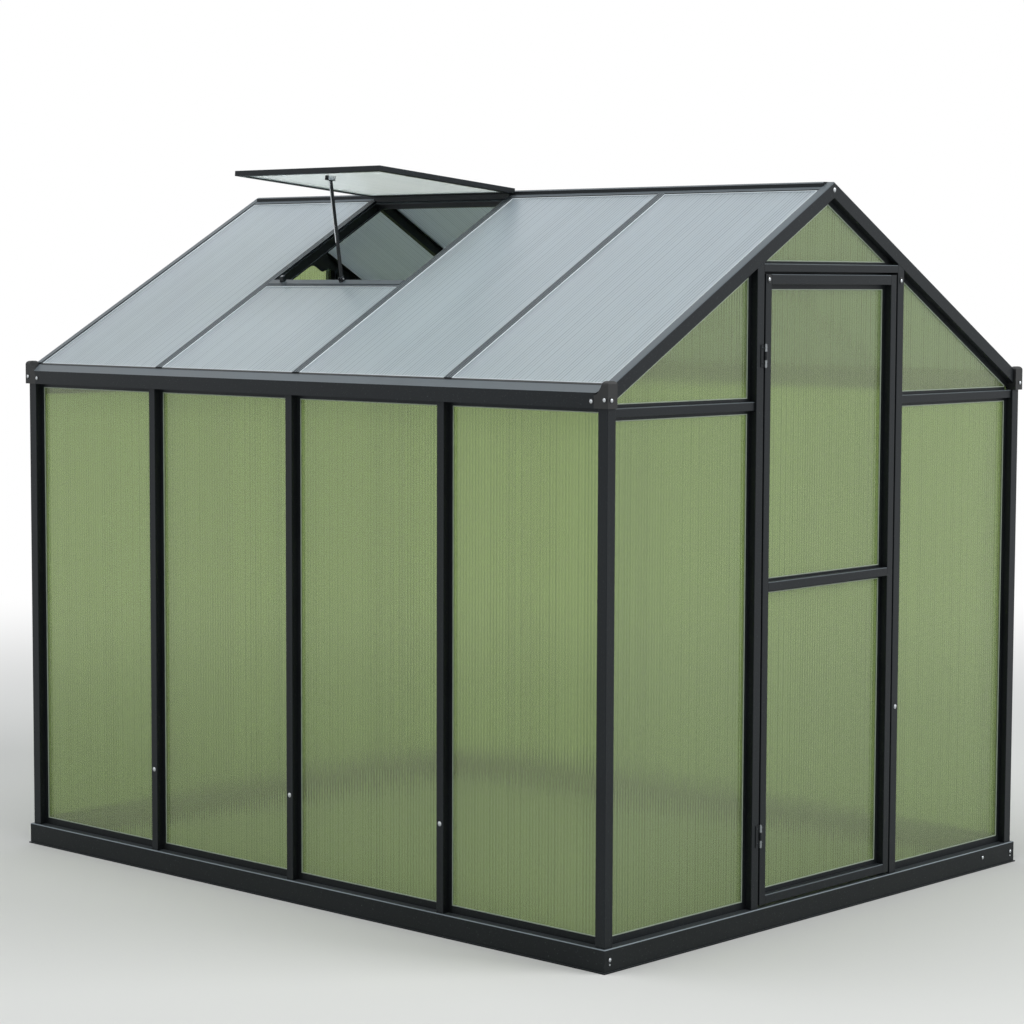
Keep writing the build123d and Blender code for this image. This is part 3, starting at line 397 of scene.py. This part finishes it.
def seat(x, y, z, out):
    """Places a fitting made on the XY plane at a point of a face that looks along out."""
    facing = Vector((0, 0, 1)).rotation_difference(Vector(out)).to_matrix().to_4x4()
    return Matrix.Translation((x, y, z)) @ facing


def on_front(x, z, lift=0.0):
    """Places a fitting on the face of the door gable, or lifted off it."""
    return seat(x, -FACE_Y - lift, z, FRONT)


# Fasteners and small fittings, each made once on the XY plane and looking up

FLANGE_RADIUS, FLANGE_THICK, HEAD_RADIUS = 0.0066, 0.0006, 0.0056
DOME_STEPS = ((0.0005, 0.98), (0.0007, 0.88), (0.0007, 0.72), (0.0004, 0.5))
WASHER_RADIUS, WASHER_THICK = 0.0080, 0.0009
SMALL_BOLT = 0.78
PLATE_THICK = 0.0012
ROD_LENGTH = 0.17


def domed_bolt():
    """Bolt with a thin flange under a low domed head, which rises in rings that get narrower."""
    disc(20, FLANGE_RADIUS, FLANGE_THICK)
    pick("faces", facing_up)
    bpy.ops.mesh.inset(thickness=FLANGE_RADIUS - HEAD_RADIUS)
    for height, shrink in DOME_STEPS:
        rise(height, shrink)
    return done(smooth=50)


def sealing_washer():
    """Black sealing washer with a bevelled rim and a shallow dish."""
    bevel, rim, dish = 0.0004, 0.0012, 0.0002
    disc(24, WASHER_RADIUS, WASHER_THICK)
    pick("edges", lambda edge: lowest(edge) > WASHER_THICK / 2)
    bpy.ops.mesh.bevel(offset=bevel, segments=2, affect="EDGES")
    pick("faces", lambda face: face.normal.z > 0.99 and face.calc_area() > 1e-5)
    inset_and_lift(rim, -dish)
    return done(smooth=30)


def hex_nut():
    """Nut with the bolt's end standing out of it, from a six-sided cylinder."""
    radius, thick, chamfer, wall = 0.0058, 0.0045, 0.0006, 0.0019
    bolt_end, tip_edge, tip = 0.0022, 0.0006, 0.0004
    disc(6, radius, thick)
    pick("edges", lambda edge: slant(edge) < 1e-5)
    bpy.ops.mesh.bevel(offset=chamfer, segments=1)
    pick("faces", facing_up)
    bpy.ops.mesh.inset(thickness=wall)
    rise(bolt_end)
    bpy.ops.mesh.inset(thickness=tip_edge)
    rise(tip)
    return done(smooth=30)


def round_cornered_plate(size_x, size_y, corner, segments, rim, crown):
    """Small plate with round corners and a raised middle, from a flat block."""
    block(size_x, size_y, PLATE_THICK)
    pick("edges", lambda edge: slant(edge) > 0.001)
    bpy.ops.mesh.bevel(offset=corner, segments=segments, affect="EDGES")
    pick("faces", facing_up)
    inset_and_lift(rim, crown)
    return done(smooth=30)


def hinge_sleeve():
    """Weathered sleeve round an end knuckle of a hinge, with a domed pin head on it."""
    radius, length, wall = 0.00395, 0.0185, 0.0008
    pin_out, pin_dome, pin_shrink = 0.0012, 0.0009, 0.7
    disc(20, radius, length)
    pick("faces", facing_up)
    bpy.ops.mesh.inset(thickness=wall)
    rise(pin_out)
    rise(pin_dome, pin_shrink)
    return done(smooth=40)


def pan_screw():
    """Small pan-head screw with a round socket, from a low cylinder."""
    radius, skirt, dome, dome_shrink = 0.0027, 0.0008, 0.0006, 0.82
    socket_edge, socket_deep = 0.0011, 0.0007
    disc(16, radius, skirt)
    pick("faces", facing_up)
    rise(dome, dome_shrink)
    bpy.ops.mesh.inset(thickness=socket_edge)
    rise(-socket_deep)
    return done(smooth=40)


def guide_rod():
    """Slim bright rod with a ferrule at its head, from a thin cylinder."""
    radius, ferrule_widening, ferrule_length = 0.0013, 1.9, 0.012
    tip_edge, tip = 0.0006, 0.0008
    disc(12, radius, ROD_LENGTH)
    pick("faces", facing_up)
    rise(0.0, ferrule_widening)
    rise(ferrule_length)
    bpy.ops.mesh.inset(thickness=tip_edge)
    rise(tip)
    return done(smooth=40)


bolt = domed_bolt()
washer = sealing_washer()
rod = guide_rod()
clip = round_cornered_plate(0.028, 0.013, corner=0.004, segments=4, rim=0.0006, crown=0.0003)
nut = hex_nut()
plate = round_cornered_plate(0.015, 0.021, corner=0.0065, segments=5, rim=0.0008, crown=0.0005)
sleeve = hinge_sleeve()
screw = pan_screw()

# Bolts of the bars and jambs

for side, out, word in SIDES:
    bar_places = [seat(side * FACE_X, y, BAR_BOLT_Z, out) for y in BAR_YS]
    repeat(bolt, bar_places, "bolts_" + word + "_wall", ZINC)
back_places = [seat(x, FACE_Y, BAR_BOLT_Z, BACK) for x in (-JAMB_MIDDLE, JAMB_MIDDLE)]
back_places.append(seat(0, FACE_Y, RIDGE_BOLT_Z, BACK))
repeat(bolt, back_places, "bolts_back_gable", ZINC)
front_places = [on_front(*JAMB_LOW), on_front(*JAMB_HIGH), on_front(0, RIDGE_BOLT_Z)]
repeat(bolt, front_places, "bolts_front_gable", ZINC)
repeat(bolt, [on_front(*DOOR_CORNER)], "bolt_door_corner", ZINC, "door")

# Bolts on washers at the eave brackets and the base, with a screw under each base corner bolt

bracket_and_base = []
for along, gable_out in ENDS:
    end_y = along * BASE_Y
    for side, out, _ in SIDES:
        bracket_and_base += [(side * BASE_X, along * y, z, out) for y, z in BRACKET_ALONG]
        bracket_and_base += [(side * x, end_y, z, gable_out) for x, z in (BRACKET_ACROSS, BASE_CORNER)]
    bracket_and_base.append((BASE_INNER[0], end_y, BASE_INNER[1], gable_out))


def on_washer(x, y, z, out):
    """Places a small bolt on the washer at a point of a face."""
    lifted = seat(x + out[0] * WASHER_THICK, y + out[1] * WASHER_THICK, z, out)
    return lifted @ Matrix.Scale(SMALL_BOLT, 4)


repeat(washer, [seat(*place) for place in bracket_and_base], "washers_brackets_and_base", NYLON)
repeat(bolt, [on_washer(*place) for place in bracket_and_base], "bolts_brackets_and_base", ZINC)
base_screws = [seat(side * BASE_CORNER[0], along * BASE_Y, BASE_SCREW_Z, out)
               for side, _, _ in SIDES for along, out in ENDS]
repeat(screw, base_screws, "screws_base_corners", ZINC)

# Nuts inside, and plates under the upper bolts of the jamb and the door

nut_x, nut_y = FACE_X - SLOT_DEEP, FACE_Y - SLOT_DEEP
nut_places = [seat(-side * nut_x, y, BAR_BOLT_Z, out) for side, out, _ in SIDES for y in BAR_YS]
nut_places += [seat(x, nut_y, BAR_BOLT_Z, FRONT) for x in (-JAMB_MIDDLE, JAMB_MIDDLE)]
repeat(nut, nut_places, "nuts_inside", ZINC)
repeat(plate, [on_front(*JAMB_HIGH)], "plate_jamb_corner", NYLON)
repeat(plate, [on_front(*DOOR_CORNER)], "plate_door_corner", NYLON, "door")

# Hinge sleeves and screws

SLEEVE_FROM_MIDDLE = 0.0115
HINGE_SCREW_ASIDE, HINGE_SCREW_UP = 0.0105, 0.02
# Each end or side, with the turn that points a fitting that way
FLIPS = ((-1, math.pi), (1, 0))

# The silver sleeves are real pin sleeves that also stand for the highlight down the hinge knuckles:
# partly a painted highlight.
sleeve_places = []
for hinge_z in HINGE_HEIGHTS:
    for end, flip in FLIPS:
        middle = Matrix.Translation((HINGE_X, HINGE_Y, hinge_z + end * SLEEVE_FROM_MIDDLE))
        sleeve_places.append(middle @ Matrix.Rotation(flip, 4, "X"))
repeat(sleeve, sleeve_places, "hinge_sleeves", DULL_ZINC)
for side, word, body in ((-1, "jamb", "root"), (1, "door", "door")):
    screw_x = HINGE_X + side * HINGE_SCREW_ASIDE
    screw_places = [on_front(screw_x, hinge_z + up, HINGE_LEAF_THICK)
                    for hinge_z in HINGE_HEIGHTS for up in (-HINGE_SCREW_UP, HINGE_SCREW_UP)]
    repeat(screw, screw_places, "hinge_screws_" + word, HINGE_COAT, body)

# The vent's own axes: its hinge line, out along the open leaf and up from its sheet

VENT_TILT = math.radians(5)
VENT_HINGE = Vector((-0.030, 0, 2.02114))
VENT_OUT = Vector((-math.cos(VENT_TILT), 0, math.sin(VENT_TILT)))
VENT_UP = Vector((math.sin(VENT_TILT), 0, math.cos(VENT_TILT)))

# Guide rod, clip and screws of the stay, and the screw of the catch on the vent's sill

STAY_FOOT = Vector((-0.48195, 0.2675, 1.76276))
STAY_HEAD_OUT, STAY_HEAD_Y = 0.470, 0.2975
STAY_HEAD = VENT_HINGE + VENT_OUT * STAY_HEAD_OUT + Vector((0, STAY_HEAD_Y, 0))
ROD_BELOW_HEAD, ROD_ASIDE = 0.024, Vector((-0.0078, -0.001, 0))
CLIP_DROP, CLIP_ASIDE = 0.002, 0.007
CLIP_SCREW_Y, CLIP_SCREW_STEP, FOOT_SCREW_Y = -0.0085, 0.008, -0.008
CATCH_Y, CATCH_DOWN, CATCH_LIFT = 0.527, 0.547, 0.021
DOWN_SLOPE = Vector((-math.cos(PITCH), 0, -math.sin(PITCH)))
OFF_SLOPE = Vector((-math.sin(PITCH), 0, math.cos(PITCH)))

stay_run = STAY_HEAD - STAY_FOOT
along_stay = stay_run.to_track_quat("Z", "Y").to_matrix().to_4x4()
# The bright guide rod also stands for the highlight along the side of the stay: partly a painted
# highlight.
rod_foot = STAY_HEAD - stay_run.normalized() * (ROD_LENGTH + ROD_BELOW_HEAD) + ROD_ASIDE
repeat(rod, [Matrix.Translation(rod_foot) @ along_stay], "stay_guide_rod", ZINC)

clip_turn = Matrix((VENT_OUT, VENT_UP, VENT_OUT.cross(VENT_UP))).transposed().to_4x4()
clip_seat = STAY_HEAD - VENT_UP * CLIP_DROP
clip_places = []
for side, flip in FLIPS:
    clip_face = Matrix.Translation(clip_seat + Vector((0, side * CLIP_ASIDE, 0)))
    clip_places.append(clip_face @ clip_turn @ Matrix.Rotation(flip, 4, "X"))
repeat(clip, clip_places, "stay_head_clip", ZINC)

clip_screw_seat = clip_seat + Vector((0, CLIP_SCREW_Y, 0))
stay_screws = [clip_screw_seat + VENT_OUT * step for step in (-CLIP_SCREW_STEP, CLIP_SCREW_STEP)]
stay_screws.append(STAY_FOOT + Vector((0, FOOT_SCREW_Y, 0)))
repeat(screw, [seat(*place, FRONT) for place in stay_screws], "screws_stay", ZINC)
catch_top = Vector((0, CATCH_Y, GLAZE_APEX)) + DOWN_SLOPE * CATCH_DOWN + OFF_SLOPE * CATCH_LIFT
repeat(screw, [seat(*catch_top, OFF_SLOPE)], "screw_sill_catch", ZINC)
discard(bolt, washer, rod, clip, nut, plate, sleeve, screw)

# Glazing seals, as an outline drawn flat and then stood on its wall

SEAL_WIDE, SEAL_HIGH, SEAL_BEVEL = 0.0028, 0.0022, 0.0009


def wall_frame(origin, right, up):
    """Places a flat outline on a wall: its x runs right, its y up the sheet and its z outwards."""
    out = Vector(right).cross(Vector(up))
    frame_of_wall = Matrix((right, up, out)).transposed().to_4x4()
    frame_of_wall.translation = origin
    return frame_of_wall


def seal(x0, y0, x1, y1, slopes=()):
    """Bead round one opening, from a plane that is cut by any slopes, inset and raised."""
    start(bpy.ops.mesh.primitive_plane_add, size=1.0)
    bpy.ops.transform.resize(value=(x1 - x0, y1 - y0, 1))
    bpy.ops.transform.translate(value=((x0 + x1) / 2, (y0 + y1) / 2, 0))
    for point, normal in slopes:
        bpy.ops.mesh.select_all(action="SELECT")
        bpy.ops.mesh.bisect(plane_co=point, plane_no=normal, clear_outer=True)
    bpy.ops.mesh.select_mode(type="FACE")
    bpy.ops.mesh.select_all(action="SELECT")
    bpy.ops.mesh.inset(thickness=SEAL_WIDE, use_even_offset=True)
    bpy.ops.mesh.delete(type="FACE")
    bpy.ops.mesh.select_all(action="SELECT")
    rise(SEAL_HIGH)
    pick("edges", lambda edge: lowest(edge) > SEAL_HIGH / 2
         and any(abs(face.normal.z) < 0.5 for face in edge.link_faces))
    bpy.ops.mesh.bevel(offset=SEAL_BEVEL, segments=2, affect="EDGES")
    return done(smooth=40)


def seals(name, place, openings, body="root", material=SEAL):
    """Keeps the beads of all the openings of a wall as one piece."""
    piece = joined([seal(*opening) for opening in openings])
    piece.data.transform(place)
    keep(piece, name, material, body)


def rafter_line(side):
    """Cuts an opening of a gable along the flange of the rafter on one side."""
    top = GLAZE_APEX - RAFTER_FLANGE_DROP / math.cos(PITCH)
    return ((0, top, 0), (side * math.sin(PITCH), math.cos(PITCH), 0))


def bays(end, reach):
    """Four bays along the house, from what the ends and the bars between them leave free."""
    first, middle, last = BAR_YS
    return [(-FACE_Y + end, first - reach), (first + reach, middle - reach),
            (middle + reach, last - reach), (last + reach, FACE_Y - end)]


def gable_openings(reach):
    """Lower and upper opening each side of an upright whose flange ends at reach."""
    post_inner = FACE_X - POST_REACH
    made = []
    for side in (-1, 1):
        x0, x1 = sorted((side * post_inner, side * reach))
        made.append((x0, CHANNEL_TOP, x1, RAIL_BELOW))
        made.append((x0, RAIL_ABOVE, x1, GLAZE_APEX, (rafter_line(side),)))
    return made


sheet_x, sheet_y = FACE_X - SHEET_DEPTH, FACE_Y - SHEET_DEPTH
wall_openings = [(y0, CHANNEL_TOP, y1, WALL_TOP) for y0, y1 in bays(POST_REACH, FLANGE_REACH)]
for side, _, word in SIDES:
    wall = wall_frame((side * sheet_x, 0, 0), (0, side, 0), (0, 0, 1))
    seals("seals_" + word + "_wall", wall, wall_openings)

front = wall_frame((0, -sheet_y, 0), (1, 0, 0), (0, 0, 1))
back = wall_frame((0, sheet_y, 0), (-1, 0, 0), (0, 0, 1))
both_slopes = (rafter_line(-1), rafter_line(1))
bar_reach = JAMB_MIDDLE - FLANGE_REACH
over_door = (-JAMB_INNER, HEADER_TOP, JAMB_INNER, GLAZE_APEX, both_slopes)
seals("seals_front_gable", front, gable_openings(JAMB_REACH) + [over_door])
between_bars = [(-bar_reach, CHANNEL_TOP, bar_reach, RAIL_BELOW),
                (-bar_reach, RAIL_ABOVE, bar_reach, GLAZE_APEX, both_slopes)]
seals("seals_back_gable", back, gable_openings(JAMB_MIDDLE + FLANGE_REACH) + between_bars)
door_openings = [(-DOOR_SHEET_X, low, DOOR_SHEET_X, high) for low, high in DOOR_PANES]
seals("seals_door", front, door_openings, "door")

# Roof seals and eave gaskets

GASKET_WIDE, GASKET_HIGH, GASKET_LONG = 0.0065, 0.0011, 2.31
roof_bays = bays(RAFTER_REACH, ROOF_BAR_REACH)


def eave_gasket():
    """Rubber strip over the joint of the roof sheets and the eave cover, with a hollow along its back."""
    bevel, rim, hollow = 0.0005, 0.0012, 0.0004
    block(GASKET_LONG, GASKET_WIDE, GASKET_HIGH, ROOF_FOOT - GASKET_WIDE / 2)
    pick("edges", lambda edge: lowest(edge) > GASKET_HIGH / 2)
    bpy.ops.mesh.bevel(offset=bevel, segments=2, affect="EDGES")
    pick("faces", lambda face: face.normal.z > 0.99)
    inset_and_lift(rim, -hollow)
    return done(smooth=30)


gasket = eave_gasket()
for side, _, word in SIDES:
    up_slope = (-side * math.cos(PITCH), 0, math.sin(PITCH))
    slope = wall_frame((0, 0, GLAZE_APEX), (0, side, 0), up_slope)
    openings = [(y0, ROOF_FOOT, y1, ROOF_HEAD) for y0, y1 in roof_bays]
    if word == "left":
        openings = [(-y1, foot, -y0, head) for y0, foot, y1, head in openings]
        vent_start, foot, vent_end, _ = openings[2]
        openings[2] = (vent_start, foot, vent_end, SILL_FOOT)
    seals("seals_" + word + "_roof", slope, openings, material=ROOF_SEAL)
    repeat(gasket, [slope], "gasket_" + word + "_eave", GASKET)
discard(gasket)

# Seals of the vent's leaf, above and under its sheet

VENT_START, VENT_END, VENT_LENGTH, VENT_RAIL = -0.015, 0.610, 0.572, 0.020
VENT_SHEET_LOW, VENT_SHEET_HIGH = 0.005, 0.011
pane_start, pane_end = VENT_START + VENT_RAIL, VENT_END - VENT_RAIL
pane_foot = VENT_LENGTH - VENT_RAIL
leaf_top = wall_frame(VENT_HINGE + VENT_UP * VENT_SHEET_HIGH, (0, 1, 0), VENT_OUT)
leaf_under = wall_frame(VENT_HINGE + VENT_UP * VENT_SHEET_LOW, VENT_OUT, (0, 1, 0))
seals("seal_vent_top", leaf_top, [(pane_start, VENT_RAIL, pane_end, pane_foot)], material=ROOF_SEAL)
seals("seal_vent_under", leaf_under, [(VENT_RAIL, pane_start, pane_foot, pane_end)], material=ROOF_SEAL)


# Stage

FLOOR_RADIUS, FLOOR_DROP = 120, 0.0005
PALING_FROM, PALING_TO = 2.2, 7.5
WHITE = (1, 1, 1, 1)


def seen_rays(tree):
    """One for rays that come from the eye straight, off a gloss or through a sheet, nought for others."""
    ray = add(tree, "LightPath").outputs
    seen = add(tree, "Math", {0: ray["Is Camera Ray"], 1: ray["Is Glossy Ray"]}, operation="MAXIMUM")
    seen = add(tree, "Math", {0: seen.outputs[0], 1: ray["Is Transmission Ray"]}, operation="MAXIMUM")
    return seen.outputs[0]


def floor_material():
    """Plain pale floor that pales to white away from the house for the rays that see it."""
    material, tree, shader, place = new_material("studio_floor")
    feed(tree, shader, {"Base Color": linear("#dcdcda"), "Roughness": 0.9, "Specular IOR Level": 0.0})
    distance = add(tree, "VectorMath", {0: place}, operation="LENGTH").outputs["Value"]
    far = add(tree, "MapRange", {"Value": distance, "From Min": PALING_FROM, "From Max": PALING_TO},
              interpolation_type="SMOOTHSTEP")
    share = add(tree, "Math", {0: far.outputs[0], 1: seen_rays(tree)}, operation="MULTIPLY")
    white = add(tree, "Emission", {"Color": WHITE, "Strength": 1.0})
    both = add(tree, "MixShader", {0: share.outputs[0], 1: shader.outputs[0], 2: white.outputs[0]})
    feed(tree, tree.nodes["Material Output"], {"Surface": both.outputs[0]})
    return material


bpy.ops.object.select_all(action="DESELECT")
bpy.ops.mesh.primitive_circle_add(vertices=96, radius=FLOOR_RADIUS, fill_type="NGON",
                                  location=(0, 0, -FLOOR_DROP))
floor = bpy.context.object
floor.name = "studio_floor"
floor.data.materials.append(floor_material())

world = bpy.data.worlds.new("studio")
bpy.context.scene.world = world
world.use_nodes = True
sky = world.node_tree
soft = add(sky, "Background", {"Color": linear("#e6ebee"), "Strength": 0.52})
white = add(sky, "Background", {"Color": WHITE, "Strength": 1.0})
both = add(sky, "MixShader", {0: seen_rays(sky), 1: soft.outputs[0], 2: white.outputs[0]})
feed(sky, sky.nodes["World Output"], {"Surface": both.outputs[0]})

LAMP_TARGET = Vector((0, 0, 1.0))


def softbox(name, place, width, height, power):
    """Large rectangular lamp that looks at the middle of the house."""
    lamp = bpy.data.lights.new(name, "AREA")
    lamp.shape = "RECTANGLE"
    lamp.size = width
    lamp.size_y = height
    lamp.energy = power
    holder = bpy.data.objects.new(name, lamp)
    holder.location = place
    holder.rotation_euler = (LAMP_TARGET - Vector(place)).to_track_quat("-Z", "Y").to_euler()
    bpy.context.scene.collection.objects.link(holder)


softbox("key_softbox", (3.5, -7.5, 6.5), width=5.0, height=4.0, power=420)
softbox("top_softbox", (-2.0, 0.5, 8.0), width=6.0, height=6.0, power=330)

# Camera at the photo's viewpoint, with its angles in degrees and its lens in millimetres

CAMERA_PLACE = (-6.1069, -5.6569, 1.7479)
CAMERA_HEADING, CAMERA_TILT, CAMERA_ROLL = 47.092, -4.767, 0.197
CAMERA_SENSOR, CAMERA_LENS = 36, 95.96
camera = bpy.data.cameras.new("camera")
camera.sensor_width = CAMERA_SENSOR
camera.lens = CAMERA_LENS
holder = bpy.data.objects.new("camera", camera)
aim = Euler((math.radians(90 + CAMERA_TILT), 0, math.radians(-CAMERA_HEADING))).to_matrix()
holder.rotation_euler = (aim @ Matrix.Rotation(math.radians(CAMERA_ROLL), 3, "Z")).to_euler()
holder.location = CAMERA_PLACE
bpy.context.scene.collection.objects.link(holder)
bpy.context.scene.camera = holder

bpy.context.scene.view_settings.view_transform = "Standard"
